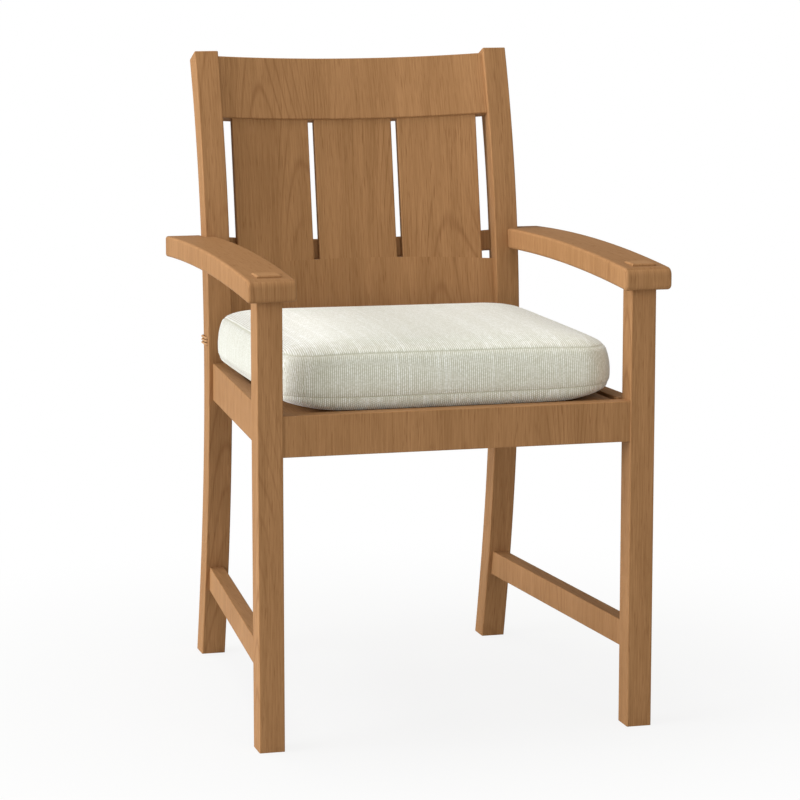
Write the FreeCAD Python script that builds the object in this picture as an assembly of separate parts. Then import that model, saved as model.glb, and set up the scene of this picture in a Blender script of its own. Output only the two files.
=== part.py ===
"""Teak dining armchair with a loose seat cushion.

Millimetres. The chair faces -Y, +X is on the right of someone who looks at its front, and +Z is up.
Everything is worked out from the front face of the front legs (y = 0). At the end all pieces are moved
together, so that the origin lies on the floor under the middle of the chair's outline.
"""
import FreeCAD
import Part
import math
import os

Vector = FreeCAD.Vector

# Outline of the frame
overall_height = 914.0       # front corner of the rear posts' tops
front_half_width = 278.5     # outer faces of the front legs
rear_half_width = 240.5      # outer faces of the rear posts

# Joinery
joint_clearance = 0.15       # between a tenon, tongue or dowel and the hole it is glued into
ease_radius = 1.5            # rounding of the long arrises
tenon_thickness = 9.0
tenon_shoulder = 6.0         # above and below a tenon

# Front legs
leg_width = 35.0
leg_depth = 37.5
leg_tenon_inset = 0.8        # shoulder round the tenon that passes through the armrest
leg_tenon_proud = 2.5
leg_tenon_bevel = 1.6

# Rear posts
post_width = 35.5
post_foot_setback = 570.5
post_shin_height = 194.5
post_shin_setback = 525.8
post_knee_height = 389.0
post_knee_setback = 501.4
post_waist_height = 583.5
post_waist_setback = 503.8
post_head_length = 136.0
post_head_setback = 537.5
post_top_setback = 580.9
post_foot_depth = 39.0
post_seat_depth = 35.5
post_top_depth = 40.0

# Seat rails
rail_top = 457.5
rail_height = 56.0
rail_thickness = 24.0
front_rail_setback = 1.5
rear_rail_setback = 6.0
side_rail_front_inset = 17.5     # from the leg's outer face to the rail's outer face
side_rail_rear_inset = 6.5       # the same at the rear post
side_tenon_front_inset = 24.5    # from the leg's outer face to the tenon's middle
front_tenon_length = 22.0
side_tenon_length = 15.0
rear_tenon_length = 11.0

# Side stretchers
stretcher_bottom = 104.0
stretcher_height = 37.0
stretcher_thickness = 22.0
stretcher_tenon_length = 18.0

# Armrests
arm_width = 66.0
arm_thickness = 30.5
arm_crown_height = 650.5     # top of the arch
arm_rise = 9.0               # height of the arch over its ends
arm_overhang = 19.5          # in front of the legs
arm_length = 586.5
arm_toe_in = 3.5             # how far the rear end stands inwards of the front end
arm_nose_radius = 11.0       # top edge of the front end
arm_chin_radius = 8.0        # lower edge of the front end
arm_edge_radius = 4.0

# Back
back_bow = 21.4              # how far the back curves to the rear in its middle
crest_drop = 97.0            # from the posts' tops to the crest rail's lower edge
crest_height = 94.0
crest_thickness = 23.5
crest_setback = 7.0          # behind the posts' front faces
crest_bevel = 1.2
crest_tenon_length = 12.0
lower_rail_lift = 141.5      # from the seat rails' tops to the lower back rail's top
lower_rail_height = 92.0
lower_rail_setback = 14.5
lower_rail_arch = 8.3
lower_rail_tenon_length = 12.0
slat_width = 119.5
slat_gap = 9.6
slat_thickness = 13.5
slat_lip = 4.0               # the crest rail stands in front of the slats by this much
tongue_thickness = 7.5
tongue_length = 10.0
tongue_shoulder = 6.0

# Bar behind the slats, between the armrests
bar_height = 30.5
bar_depth = 22.0
bar_dip = 6.0
bar_raise = 2.2              # of its ends over the armrests' ends, along the back
bar_gap = 0.3                # to the slats
bar_edge_radius = 2.5

# Seat deck
deck_recess = 3.5            # below the rails' tops
deck_thickness = 14.0
deck_slat_width = 56.0
deck_slat_gap = 8.0
deck_middle_slats = 5
deck_side_gap = 3.0
deck_end_gap = 2.0
cleat_size = 20.0
cleat_end_gap = 4.0
bearer_width = 40.0
bearer_height = 22.0
bearer_tenon_length = 8.0
bearer_setback = 262.0
corner_block_leg = 52.0
corner_block_height = 30.0

# Dowels and screws
dowel_radius = 4.0
dowel_length = 30.0
dowel_first_setback = 10.0   # behind the post's front face
dowel_spacing = 12.0
screw_radius = 2.0
screw_head_radius = 4.0
screw_head_depth = 2.6
screw_length = 26.0
cleat_screw_length = 34.0
block_screw_length = 28.0
screw_clearance = 0.1
outer_screw_inset = 20.0     # from the side rail to the screws of the outermost slats
block_screw_offset = 30.0    # from the corner to a corner block's screws
block_screw_wall = 13.0      # wood under a corner block's screw head
block_screw_height = 8.0     # above the block's underside

# Cushion
cushion_seat_gap = 0.3
cushion_front = 34.0
cushion_rear_gap = 3.0       # in front of the rear posts
cushion_height = 87.5
cushion_front_half_width = 227.0
cushion_rear_half_width = 224.4
cushion_corner_radius = 34.0
cushion_edge_radius = 18.0
cushion_rail_gap = 0.5
cover_thickness = 1.2
foam_gap = 0.2

# Zip in the rear of the cover
zip_half_length = 165.0
zip_tape_height = 22.0
zip_tape_thickness = 1.2
zip_slider_width = 9.0
zip_slider_height = 11.0
zip_slider_thickness = 3.6
zip_slider_gap = 0.3
zip_slider_end = 150.0
zip_pull_length = 24.0
zip_pull_width = 5.0
zip_pull_thickness = 1.4

# Tie cord lashed through each rear post
tie_lift = 27.6              # from the seat rails' tops to the middle of the lowest turn
tie_turns = 3
tie_pitch = 4.6
tie_radius = 1.7
tie_gap = 0.3
tie_slot_setback = 8.0       # from the post's front face
tie_slot_width = 5.4
tie_bend_radius = 3.4

# Places that follow from the sizes above
UP = Vector(0, 0, 1)
clear_half = rear_half_width - post_width
rail_bottom = rail_top - rail_height
rail_middle = rail_top - rail_height / 2
leg_x = front_half_width - leg_width / 2
post_x = rear_half_width - post_width / 2
far = 3 * overall_height
deck_top = rail_top - deck_recess
deck_bottom = deck_top - deck_thickness
front_rail_rear = front_rail_setback + rail_thickness
stretcher_middle = stretcher_bottom + stretcher_height / 2
crest_bottom = overall_height - crest_drop
lower_rail_top = rail_top + lower_rail_lift


# Small helpers

def block(x_range, y_range, z_range):
    low = Vector(x_range[0], y_range[0], z_range[0])
    return Part.makeBox(x_range[1] - x_range[0], y_range[1] - y_range[0], z_range[1] - z_range[0], low)


def prism(points, travel):
    return Part.Face(Part.makePolygon(points + points[:1])).extrude(travel)


def outline_prism(edges, travel):
    return Part.Face(Part.Wire(edges)).extrude(travel)


def mirrored(shape):
    return shape.mirror(Vector(0, 0, 0), Vector(1, 0, 0))


def rounded(shape, radius, wanted):
    return shape.makeFillet(radius, [edge for edge in shape.Edges if wanted(edge)])


def runs_along(edge, direction):
    start = edge.Vertexes[0].Point
    end = edge.Vertexes[-1].Point
    return (end - start).cross(direction).Length < 1e-6 * edge.Length


def line(start, end):
    return Part.makeLine(start, end)


def arc(start, middle, end):
    return Part.Arc(start, middle, end).toShape()


def beam(start, end, thickness, z_range, overrun):
    """An upright board on the line from start to end, longer than it by overrun at both ends."""
    along = Vector(end - start).normalize()
    across = Vector(-along.y, along.x, 0) * (thickness / 2)
    near = start - along * overrun + UP * z_range[0]
    away = end + along * overrun + UP * z_range[0]
    corners = [near + across, near - across, away - across, away + across]
    return prism(corners, UP * (z_range[1] - z_range[0]))


def rod(base, direction, radius, length):
    return Part.makeCylinder(radius, length, base, direction)


def countersunk_screw(top, direction, length, clearance=0.0):
    head_radius = screw_head_radius + clearance
    shank_radius = screw_radius + clearance
    head = Part.makeCone(head_radius, shank_radius, screw_head_depth, top, direction)
    return head.fuse(rod(top, direction, shank_radius, length)).removeSplitter()


# Rear posts: one sawn curve from the floor to the top of the back

def curve_through(places):
    curve = Part.BSplineCurve()
    curve.interpolate([Vector(0, y, z) for y, z in places])
    return curve


def curve_y(curve, height):
    """How far back a rising curve stands at this height."""
    low = curve.FirstParameter
    high = curve.LastParameter
    for _ in range(60):
        middle = (low + high) / 2
        if curve.value(middle).z < height:
            low = middle
        else:
            high = middle
    return curve.value(low).y


post_head_height = overall_height - post_head_length
post_front = curve_through([
    (post_foot_setback, 0.0),
    (post_shin_setback, post_shin_height),
    (post_knee_setback, post_knee_height),
    (post_waist_setback, post_waist_height),
    (post_head_setback, post_head_height),
    (post_top_setback, overall_height),
])
post_foot = post_front.value(post_front.FirstParameter)
post_top = post_front.value(post_front.LastParameter)
post_top_slope = post_front.tangent(post_front.LastParameter)[0]
post_top_rear = post_top + Vector(0, post_top_slope.z, -post_top_slope.y) * post_top_depth


def post_depth(height):
    if height < rail_top:
        return post_foot_depth + (post_seat_depth - post_foot_depth) * height / rail_top
    share = (height - rail_top) / (overall_height - rail_top)
    return post_seat_depth + (post_top_depth - post_seat_depth) * share


post_rear = curve_through([
    (post_foot_setback + post_foot_depth, 0.0),
    (post_shin_setback + post_depth(post_shin_height), post_shin_height),
    (post_knee_setback + post_depth(post_knee_height), post_knee_height),
    (post_waist_setback + post_depth(post_waist_height), post_waist_height),
    (post_head_setback + post_depth(post_head_height), post_head_height),
    (post_top_rear.y, post_top_rear.z),
])


def post_front_y(height):
    return curve_y(post_front, height)


def post_rear_y(height):
    return curve_y(post_rear, height)


def post_blank():
    foot_rear = post_rear.value(post_rear.FirstParameter)
    edges = [post_front.toShape(), line(post_top, post_top_rear), post_rear.toShape(), line(foot_rear, post_foot)]
    blank = outline_prism(Part.__sortEdges__(edges), Vector(post_width, 0, 0))
    blank.translate(Vector(clear_half, 0, 0))
    return blank


def bay(y_near, half_width):
    """The space between an upright plane and the front faces of the rear posts."""
    near_top = Vector(0, y_near, post_top.z)
    near_foot = Vector(0, y_near, 0)
    edges = [post_front.toShape(), line(post_top, near_top), line(near_top, near_foot), line(near_foot, post_foot)]
    space = outline_prism(Part.__sortEdges__(edges), Vector(2 * half_width, 0, 0))
    space.translate(Vector(-half_width, 0, 0))
    return space


rear_post_blank = post_blank()
seat_bay = bay(leg_depth, front_half_width)
seat_post_y = post_front_y(rail_middle)


# Seat rails and stretchers

def side_rail_outer_x(y):
    front = front_half_width - side_rail_front_inset
    rear = rear_half_width - side_rail_rear_inset
    return front + (rear - front) * (y - leg_depth) / (seat_post_y - leg_depth)


def side_rail_inner_x(y):
    return side_rail_outer_x(y) - rail_thickness


def tenon_core(start, end, thickness, z_range, y_range, clearance):
    z_open = (z_range[0] - clearance, z_range[1] + clearance)
    core = beam(start, end, thickness + 2 * clearance, z_open, leg_depth)
    y_open = (y_range[0] - clearance, y_range[1] + clearance)
    return core.common(block((-front_half_width, front_half_width), y_open, z_open))


def side_rail_core(clearance=0.0):
    start = Vector(front_half_width - side_tenon_front_inset, leg_depth, 0)
    end = Vector(post_x, seat_post_y, 0)
    y_range = (leg_depth - side_tenon_length, seat_post_y + side_tenon_length)
    z_range = (rail_bottom + tenon_shoulder, rail_top - tenon_shoulder)
    return tenon_core(start, end, tenon_thickness, z_range, y_range, clearance)


def side_rail_blank():
    half = rail_thickness / 2
    start = Vector(side_rail_outer_x(leg_depth) - half, leg_depth, 0)
    end = Vector(side_rail_outer_x(seat_post_y) - half, seat_post_y, 0)
    board = beam(start, end, rail_thickness, (rail_bottom, rail_top), leg_depth)
    board = rounded(board, ease_radius, lambda edge: edge.Length > seat_post_y - leg_depth)
    return board.common(seat_bay)


def stretcher_line():
    return Vector(leg_x, leg_depth, 0), Vector(post_x, post_front_y(stretcher_middle), 0)


def stretcher_core(clearance=0.0):
    start, end = stretcher_line()
    y_range = (leg_depth - stretcher_tenon_length, end.y + stretcher_tenon_length)
    z_range = (stretcher_bottom + tenon_shoulder, stretcher_bottom + stretcher_height - tenon_shoulder)
    return tenon_core(start, end, tenon_thickness, z_range, y_range, clearance)


def side_stretcher():
    start, end = stretcher_line()
    z_range = (stretcher_bottom, stretcher_bottom + stretcher_height)
    board = beam(start, end, stretcher_thickness, z_range, 2 * leg_depth)
    board = rounded(board, ease_radius, lambda edge: edge.Length > end.y - leg_depth)
    return board.common(seat_bay).fuse(stretcher_core()).removeSplitter()


def cross_rail_core(half_length, tenon_length, y_front, clearance):
    y_middle = y_front + rail_thickness / 2
    half = tenon_thickness / 2 + clearance
    reach = half_length + tenon_length + clearance
    z_range = (rail_bottom + tenon_shoulder - clearance, rail_top - tenon_shoulder + clearance)
    return block((-reach, reach), (y_middle - half, y_middle + half), z_range)


def front_rail_core(clearance=0.0):
    return cross_rail_core(front_half_width - leg_width, front_tenon_length, front_rail_setback, clearance)


def rear_rail_front():
    return seat_post_y + rear_rail_setback


def rear_rail_core(clearance=0.0):
    return cross_rail_core(clear_half, rear_tenon_length, rear_rail_front(), clearance)


def cross_rail(half_length, y_front, core):
    board = block((-half_length, half_length), (y_front, y_front + rail_thickness), (rail_bottom, rail_top))
    board = rounded(board, ease_radius, lambda edge: runs_along(edge, Vector(1, 0, 0)))
    return board.fuse(core).removeSplitter()


# Armrests and front legs

arm_front_y = -arm_overhang
arm_rear_y = arm_front_y + arm_length
arm_middle_y = arm_front_y + arm_length / 2


def arm_arc(crown):
    start = Vector(0, arm_front_y, crown - arm_rise)
    end = Vector(0, arm_rear_y, crown - arm_rise)
    return start, arc(start, Vector(0, arm_middle_y, crown), end), end


def arm_top(y):
    radius = ((arm_length / 2) ** 2 + arm_rise ** 2) / (2 * arm_rise)
    return arm_crown_height - radius + math.sqrt(radius ** 2 - (y - arm_middle_y) ** 2)


def arm_side_slab(bottom_crown, top_crown, half_width):
    """The space between two arches, one above the other."""
    low_start, low, low_end = arm_arc(bottom_crown)
    high_start, high, high_end = arm_arc(top_crown)
    edges = [low, line(low_end, high_end), high, line(high_start, low_start)]
    slab = outline_prism(Part.__sortEdges__(edges), Vector(2 * half_width, 0, 0))
    slab.translate(Vector(-half_width, 0, 0))
    return slab


arm_bottom_crown = arm_crown_height - arm_thickness


def arm_plan_x(y):
    return leg_x - arm_toe_in * (y - arm_front_y) / arm_length


def leg_tenon(clearance=0.0):
    half_x = leg_width / 2 - leg_tenon_inset + clearance
    half_y = leg_depth / 2 - leg_tenon_inset + clearance
    top = arm_top(leg_depth / 2) + leg_tenon_proud + clearance
    y_middle = leg_depth / 2
    z_range = (arm_bottom_crown - arm_thickness, top)
    return block((leg_x - half_x, leg_x + half_x), (y_middle - half_y, y_middle + half_y), z_range)


def front_leg():
    x_range = (front_half_width - leg_width, front_half_width)
    body = block(x_range, (0, leg_depth), (0, arm_crown_height))
    body = rounded(body, ease_radius, lambda edge: runs_along(edge, UP))
    body = body.cut(arm_side_slab(arm_bottom_crown, arm_crown_height + arm_thickness, 2 * front_half_width))
    tenon = leg_tenon()
    upper = [edge for edge in tenon.Edges if edge.BoundBox.ZMin > arm_top(leg_depth / 2)]
    tenon = tenon.makeChamfer(leg_tenon_bevel, upper)
    leg = body.fuse(tenon).removeSplitter()
    for core in (front_rail_core, side_rail_core, stretcher_core):
        leg = leg.cut(core(joint_clearance))
    return leg


def armrest_blank():
    slab = arm_side_slab(arm_bottom_crown, arm_crown_height, 2 * front_half_width)
    nose = Vector(0, arm_front_y, arm_crown_height - arm_rise)
    chin = Vector(0, arm_front_y, arm_bottom_crown - arm_rise)
    slab = rounded(slab, arm_nose_radius, lambda edge: (edge.CenterOfMass - nose).Length < arm_edge_radius)
    slab = rounded(slab, arm_chin_radius, lambda edge: (edge.CenterOfMass - chin).Length < arm_edge_radius)
    front = Vector(arm_plan_x(arm_front_y), arm_front_y, 0)
    rear = Vector(arm_plan_x(arm_rear_y), arm_rear_y, 0)
    arm = beam(front, rear, arm_width, (0, arm_crown_height + arm_thickness), arm_width).common(slab)

    def across_front(edge):
        return runs_along(edge, Vector(1, 0, 0)) and edge.CenterOfMass.y < arm_middle_y

    return rounded(arm, arm_edge_radius, lambda edge: not across_front(edge))


def armrest():
    behind = bay(far, rear_half_width)
    arm = armrest_blank().cut(behind).cut(leg_tenon(joint_clearance))
    for hole in arm_dowels(joint_clearance):
        arm = arm.cut(hole)
    return arm


# Back: pieces are drawn upright, with x across, y to the rear and z along the board, and then tilted

def tilted(shape, tilt, place):
    turned = shape.copy()
    turned.rotate(Vector(0, 0, 0), Vector(1, 0, 0), -math.degrees(tilt))
    turned.translate(place)
    return turned


crest_tilt = math.atan2(post_top_setback - post_front_y(crest_bottom), crest_drop)
crest_place = Vector(0, post_front_y(crest_bottom) + crest_setback, crest_bottom)
back_place = Vector(0, post_front_y(lower_rail_top) + lower_rail_setback, lower_rail_top)
back_rise = crest_place - back_place
back_tilt = math.atan2(back_rise.y + slat_lip, back_rise.z)
slat_run = (-lower_rail_height, overall_height - lower_rail_top)


def in_crest(shape):
    return tilted(shape, crest_tilt, crest_place)


def in_back(shape):
    return tilted(shape, back_tilt, back_place)


def bow_edges(y, z):
    """A bowed edge between the rear posts."""
    left = Vector(-clear_half, y, z)
    right = Vector(clear_half, y, z)
    return left, arc(left, Vector(0, y + back_bow, z), right), right


def bowed_board(y_range, z_range):
    front_left, front, front_right = bow_edges(y_range[0], z_range[0])
    rear_left, rear, rear_right = bow_edges(y_range[1], z_range[0])
    edges = [front, line(front_right, rear_right), rear, line(rear_left, front_left)]
    return outline_prism(Part.__sortEdges__(edges), UP * (z_range[1] - z_range[0]))


def end_tenons(y_middle, z_range, length, clearance):
    """Square tenons on both ends of a bowed board."""
    half = tenon_thickness / 2 + clearance
    reach = clear_half + length + clearance
    root = clear_half - tenon_thickness
    z_open = (z_range[0] - clearance, z_range[1] + clearance)
    right = block((root, reach), (y_middle - half, y_middle + half), z_open)
    return [right, mirrored(right)]


def crest_tenons(clearance=0.0):
    z_range = (tenon_shoulder, crest_height - tenon_shoulder)
    tenons = end_tenons(crest_thickness / 2, z_range, crest_tenon_length, clearance)
    return [in_crest(tenon) for tenon in tenons]


def crest_rail():
    board = bowed_board((0, crest_thickness), (0, crest_height))
    board = board.makeChamfer(crest_bevel, [edge for edge in board.Edges if edge.Length > clear_half])
    rail = in_crest(board).fuse(crest_tenons()).removeSplitter()
    for slat in range(3):
        rail = rail.cut(upper_tongue(slat, joint_clearance))
    return rail


def slat_range(index):
    middle = (index - 1) * (slat_width + slat_gap)
    return middle - slat_width / 2, middle + slat_width / 2


def lower_rail_space():
    """The space under the lower back rail's arched top."""
    left = Vector(-clear_half, -crest_thickness, 0)
    right = Vector(clear_half, -crest_thickness, 0)
    low_left = left - UP * lower_rail_height
    low_right = right - UP * lower_rail_height
    crown = Vector(0, -crest_thickness, lower_rail_arch)
    edges = [arc(left, crown, right), line(right, low_right), line(low_right, low_left), line(low_left, left)]
    return outline_prism(Part.__sortEdges__(edges), Vector(0, 4 * crest_thickness, 0))


def tongue_board(index, clearance):
    x_low, x_high = slat_range(index)
    y_low = (slat_thickness - tongue_thickness) / 2 - clearance
    board = bowed_board((y_low, slat_thickness - y_low), slat_run)
    x_range = (x_low + tongue_shoulder - clearance, x_high - tongue_shoulder + clearance)
    return board.common(block(x_range, (-far, far), (-far, far)))


def upper_tongue(index, clearance=0.0):
    root = crest_thickness
    zone = block((-far, far), (-far, far), (-root, tongue_length + clearance))
    return in_back(tongue_board(index, clearance)).common(in_crest(zone))


def lower_tongue(index, clearance=0.0):
    x_range = slat_range(index)
    zone = block((x_range[0], x_range[1]), (-far, far), (-tongue_length - clearance, tongue_length))
    return in_back(tongue_board(index, clearance).common(zone))


def back_slat(index):
    x_range = slat_range(index)
    board = bowed_board((0, slat_thickness), slat_run)
    board = board.common(block(x_range, (-far, far), (-far, far)))
    board = rounded(board, ease_radius, lambda edge: runs_along(edge, UP))
    board = in_back(board.cut(lower_rail_space()))
    board = board.cut(in_crest(block((-far, far), (-far, far), (0, far))))
    return board.fuse([upper_tongue(index), lower_tongue(index)]).removeSplitter()


def lower_rail_tenons(clearance=0.0):
    z_range = (tenon_shoulder - lower_rail_height, -tenon_shoulder)
    tenons = end_tenons(slat_thickness / 2, z_range, lower_rail_tenon_length, clearance)
    return [in_back(tenon) for tenon in tenons]


def lower_back_rail():
    board = bowed_board((0, slat_thickness), (-lower_rail_height, lower_rail_arch))
    rail = in_back(board.common(lower_rail_space())).fuse(lower_rail_tenons()).removeSplitter()
    for slat in range(3):
        rail = rail.cut(lower_tongue(slat, joint_clearance))
    return rail


# Bar behind the slats: housed in the posts' rear faces, between the armrests

bar_front = slat_thickness + bar_gap
bar_lift = arm_crown_height - arm_rise + bar_raise - bar_height - lower_rail_top


def bar_edges(place, sag, half_length):
    """A line that is straight at its ends and sags along one axis between the posts."""
    end_left = place - Vector(half_length, 0, 0)
    left = place - Vector(clear_half, 0, 0)
    right = place + Vector(clear_half, 0, 0)
    end_right = place + Vector(half_length, 0, 0)
    return end_left, end_right, [line(end_left, left), arc(left, place + sag, right), line(right, end_right)]


def bar_outline(near, away, sag, half_length, travel):
    near_left, near_right, near_edges = bar_edges(near, sag, half_length)
    away_left, away_right, away_edges = bar_edges(away, sag, half_length)
    edges = near_edges + away_edges + [line(near_left, away_left), line(near_right, away_right)]
    return outline_prism(Part.__sortEdges__(edges), travel)


def bar_body(clearance=0.0):
    half_length = rear_half_width
    low = bar_lift - clearance
    high = bar_lift + bar_height + clearance
    near = Vector(0, bar_front - clearance, low - 2 * bar_dip)
    away = Vector(0, bar_front + bar_depth + clearance, low - 2 * bar_dip)
    plan = bar_outline(near, away, Vector(0, back_bow, 0), half_length, UP * (bar_height + 4 * bar_dip))
    under = Vector(0, -crest_thickness, low)
    over = Vector(0, -crest_thickness, high)
    sweep = Vector(0, back_bow + bar_depth + 4 * crest_thickness, 0)
    front = bar_outline(under, over, Vector(0, 0, -bar_dip), half_length, sweep)
    return plan.common(front)


def rear_arm_bar():
    bar = rounded(bar_body(), bar_edge_radius, lambda edge: edge.Length > clear_half)
    bar = in_back(bar)
    for hole in bar_dowels(joint_clearance):
        bar = bar.cut(hole)
    return bar


def rear_post():
    post = rounded(rear_post_blank, ease_radius, lambda edge: edge.BoundBox.ZMax > ease_radius)
    holes = [core(joint_clearance) for core in (rear_rail_core, side_rail_core, stretcher_core)]
    holes += crest_tenons(joint_clearance)[:1] + lower_rail_tenons(joint_clearance)[:1]
    holes += [in_back(bar_body(joint_clearance)), tie_slot()]
    holes += arm_dowels(joint_clearance)
    for hole in holes:
        post = post.cut(hole)
    return post


# Dowels between the armrests, the rear posts and the bar, on the right side

def side_dowel(place, clearance):
    start = place - Vector(dowel_length / 2 + clearance, 0, 0)
    return rod(start, Vector(1, 0, 0), dowel_radius + clearance, dowel_length + 2 * clearance)


def arm_dowels(clearance=0.0):
    height = arm_crown_height - arm_rise - arm_thickness / 2
    first = post_front_y(height) + dowel_first_setback
    setbacks = [first, first + dowel_spacing]
    post_dowels = [side_dowel(Vector(rear_half_width, y, height), clearance) for y in setbacks]
    return post_dowels + bar_dowels(clearance)[:1]


def bar_dowels(clearance=0.0):
    place = Vector(rear_half_width, bar_front + bar_depth / 2, bar_lift + bar_height / 2)
    right = in_back(side_dowel(place, clearance))
    return [right, mirrored(right)]


# Seat deck

deck_front = front_rail_rear + deck_end_gap
deck_rear = post_front_y(deck_bottom) - deck_end_gap
deck_pitch = deck_slat_width + deck_slat_gap
deck_middle_half = (deck_middle_slats * deck_pitch - deck_slat_gap) / 2
front_screw_y = front_rail_rear + cleat_size / 2
bearer_screw_y = bearer_setback + bearer_width / 2
cleat_range = (deck_bottom - cleat_size, deck_bottom)


def rear_screw_y():
    return rear_rail_front() - cleat_size / 2


def middle_slat_x(index):
    return (index - (deck_middle_slats - 1) / 2) * deck_pitch


def middle_slat(index):
    x = middle_slat_x(index)
    half = deck_slat_width / 2
    board = block((x - half, x + half), (deck_front, deck_rear), (deck_bottom, deck_top))
    board = rounded(board, ease_radius, lambda edge: runs_along(edge, Vector(0, 1, 0)))
    return drilled(board, [(x, y) for y in (front_screw_y, bearer_screw_y, rear_screw_y())])


def outer_slat_screws():
    ys = (front_screw_y, bearer_screw_y, rear_screw_y())
    return [(side_rail_inner_x(y) - outer_screw_inset, y) for y in ys]


def outer_slat():
    x = deck_middle_half + deck_slat_gap
    front = Vector(side_rail_inner_x(deck_front) - deck_side_gap, deck_front, deck_bottom)
    rear = Vector(side_rail_inner_x(deck_rear) - deck_side_gap, deck_rear, deck_bottom)
    corners = [Vector(x, deck_front, deck_bottom), front, rear, Vector(x, deck_rear, deck_bottom)]
    board = prism(corners, UP * deck_thickness)
    board = rounded(board, ease_radius, lambda edge: edge.Length > (deck_rear - deck_front) / 2)
    return drilled(board, outer_slat_screws())


def drilled(board, places):
    for x, y in places:
        board = board.cut(deck_screw(x, y, screw_clearance))
    return board


def deck_screw(x, y, clearance=0.0):
    return countersunk_screw(Vector(x, y, deck_top), -UP, screw_length + clearance, clearance)


def deck_screw_places(y_list):
    middle = [(middle_slat_x(index), y) for index in range(deck_middle_slats) for y in y_list]
    outer = [place for place in outer_slat_screws() if place[1] in y_list]
    return middle + outer + [(-x, y) for x, y in outer]


def cleat_screws(y, direction, clearance=0.0):
    """Level screws through a cleat, between the screws of the slats."""
    height = deck_bottom - cleat_size / 2
    xs = [middle_slat_x(index) + deck_pitch / 2 for index in range(deck_middle_slats - 1)]
    length = cleat_screw_length + clearance
    return [countersunk_screw(Vector(x, y, height), direction, length, clearance) for x in xs]


def front_cleat_screws(clearance=0.0):
    return cleat_screws(front_rail_rear + cleat_size, Vector(0, -1, 0), clearance)


def rear_cleat_screws(clearance=0.0):
    return cleat_screws(rear_rail_front() - cleat_size, Vector(0, 1, 0), clearance)


def cleat(half_length, y_range, screws):
    bar = block((-half_length, half_length), y_range, cleat_range)
    for x, y in deck_screw_places((front_screw_y, rear_screw_y())):
        bar = bar.cut(deck_screw(x, y, screw_clearance))
    for screw in screws:
        bar = bar.cut(screw)
    return bar


def front_cleat():
    half_length = side_rail_inner_x(front_rail_rear) - corner_block_leg - cleat_end_gap
    y_range = (front_rail_rear, front_rail_rear + cleat_size)
    return cleat(half_length, y_range, front_cleat_screws(screw_clearance))


def rear_cleat():
    half_length = side_rail_inner_x(rear_rail_front()) - corner_block_leg - cleat_end_gap
    y_range = (rear_rail_front() - cleat_size, rear_rail_front())
    return cleat(half_length, y_range, rear_cleat_screws(screw_clearance))


def bearer_core(clearance=0.0):
    reach = side_rail_inner_x(bearer_screw_y) + bearer_tenon_length + clearance
    half = bearer_width / 2 - tenon_shoulder + clearance
    low = deck_bottom - bearer_height + tenon_shoulder - clearance
    high = deck_bottom - tenon_shoulder + clearance
    return block((-reach, reach), (bearer_screw_y - half, bearer_screw_y + half), (low, high))


def seat_bearer(side_rails):
    reach = side_rail_outer_x(bearer_screw_y)
    y_range = (bearer_setback, bearer_setback + bearer_width)
    bar = block((-reach, reach), y_range, (deck_bottom - bearer_height, deck_bottom))
    within = max(bar.cut(side_rails).Solids, key=lambda solid: solid.Volume)
    bar = within.fuse(bearer_core()).removeSplitter()
    for x, y in deck_screw_places((bearer_screw_y,)):
        bar = bar.cut(deck_screw(x, y, screw_clearance))
    return bar


# Corner blocks, on the right side

to_the_rear = 1
to_the_front = -1
block_range = (deck_bottom - corner_block_height, deck_bottom)
block_screw_z = block_range[0] + block_screw_height


def block_corner(rail_face_y):
    return Vector(side_rail_inner_x(rail_face_y), rail_face_y, block_range[0])


def block_screw_tops(rail_face_y, inward):
    corner = block_corner(rail_face_y)
    to_rail = Vector(corner.x - block_screw_offset, rail_face_y + inward * block_screw_wall, block_screw_z)
    side_y = rail_face_y + inward * block_screw_offset
    to_side = Vector(side_rail_inner_x(side_y) - block_screw_wall, side_y, block_screw_z)
    return to_rail, to_side


def block_screws(rail_face_y, inward, clearance=0.0):
    """One screw into the cross rail and one into the side rail, their heads sunk in the block."""
    to_rail, to_side = block_screw_tops(rail_face_y, inward)
    length = block_screw_length + clearance
    rail_screw = countersunk_screw(to_rail, Vector(0, -inward, 0), length, clearance)
    side_screw = countersunk_screw(to_side, Vector(1, 0, 0), length, clearance)
    return [rail_screw, side_screw]


def corner_block(rail_face_y, inward, neighbours):
    corner = block_corner(rail_face_y)
    side_y = rail_face_y + inward * corner_block_leg
    along_side = Vector(side_rail_inner_x(side_y), side_y, corner.z)
    along_rail = corner - Vector(corner_block_leg, 0, 0)
    body = prism([corner, along_side, along_rail], UP * corner_block_height)
    body = body.cut(neighbours)
    for screw in block_screws(rail_face_y, inward, screw_clearance):
        body = body.cut(screw)
    head_radius = screw_head_radius + screw_clearance
    to_rail, to_side = block_screw_tops(rail_face_y, inward)
    body = body.cut(rod(to_rail, Vector(0, inward, 0), head_radius, corner_block_leg))
    body = body.cut(rod(to_side, Vector(-1, 0, 0), head_radius, corner_block_leg))
    for x, y in outer_slat_screws():
        body = body.cut(deck_screw(x, y, screw_clearance))
    return body


# Cushion

cushion_bottom = deck_top + cushion_seat_gap
cushion_rear = deck_rear + deck_end_gap - cushion_rear_gap
cushion_middle = cushion_bottom + cushion_height / 2


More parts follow.
